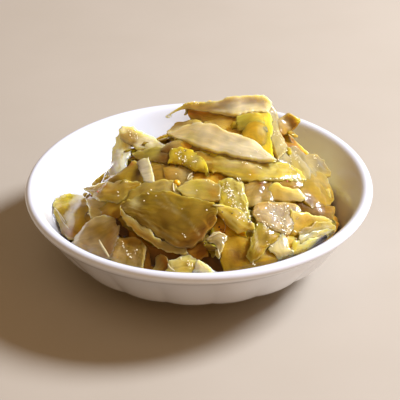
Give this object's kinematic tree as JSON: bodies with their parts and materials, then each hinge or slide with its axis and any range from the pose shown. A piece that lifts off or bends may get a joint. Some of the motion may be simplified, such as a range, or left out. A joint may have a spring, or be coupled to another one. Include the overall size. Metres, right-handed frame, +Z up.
{
  "type": "bowl of pickled mustard greens",
  "caption": "Small round fluted porcelain side dish heaped with wet, yellow-green pieces of pickled mustard leaf and stem.",
  "frame": {"origin": "centre of the foot ring, on the surface that the dish stands on", "axes": "+Z up out of the dish; -Y towards the side that shows best, with the tallest greens to the right of the middle, towards +X"},
  "size_m": [0.12, 0.12, 0.055],
  "materials": {
    "glazed_porcelain": "white porcelain under a clear, smooth, glossy glaze",
    "pickled_leaf": "wet, glossy, slightly translucent pickled leaf and stem, cream to golden and olive"
  },
  "bodies": {
    "root": {"bowl": "glazed_porcelain", "pickled_greens": "pickled_leaf"}
  },
  "joints": []
}
